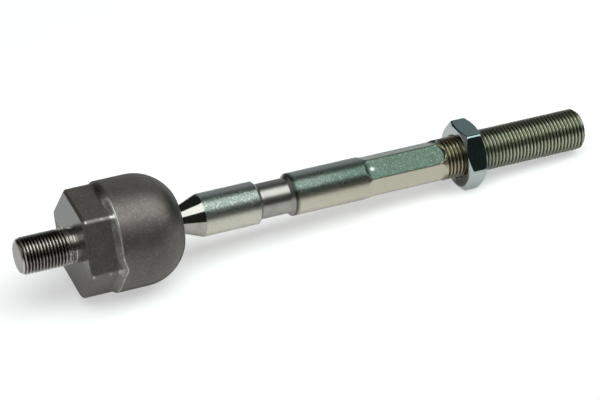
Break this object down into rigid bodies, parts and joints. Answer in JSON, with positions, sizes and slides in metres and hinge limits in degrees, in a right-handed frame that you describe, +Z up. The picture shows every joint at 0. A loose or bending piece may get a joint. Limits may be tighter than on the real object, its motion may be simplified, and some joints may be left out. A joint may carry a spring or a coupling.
{
  "type": "inner tie rod",
  "caption": "Steering rod with a ball joint in a hexagonal screw-in socket at one end and a threaded end with a jam nut at the other.",
  "frame": {"origin": "on the rod's axis, in the flat face of the socket housing that seats on the end of the steering rack", "axes": "+X along the rod towards its outer threaded end, +Z up when it lies at rest, +Y to the left"},
  "size_m": [0.2301, 0.0418, 0.0418],
  "materials": {
    "forged_steel": "satin",
    "acetal": "matte",
    "spring_steel": "satin",
    "plated_steel": "satin",
    "nut_zinc": "satin"
  },
  "bodies": {
    "housing": {"socket_housing": "forged_steel", "preload_spring": "spring_steel"},
    "seat": {"ball_seat": "acetal"},
    "rod": {"tie_rod": "plated_steel"},
    "nut": {"jam_nut": "nut_zinc"}
  },
  "joints": [
    {"name": "rod_spin", "type": "hinge", "parent": "housing", "child": "seat", "pos_m": [0.026, 0, 0], "axis": [1, 0, 0], "continuous": true},
    {"name": "rod_swing", "type": "hinge", "parent": "seat", "child": "rod", "pos_m": [0.026, 0, 0], "axis": [0, 1, 0], "range_deg": [-22, 22]},
    {"name": "nut_travel", "type": "slide", "parent": "rod", "child": "nut", "axis": [1, 0, 0], "range_m": [-0.0075, 0.0435]}
  ]
}
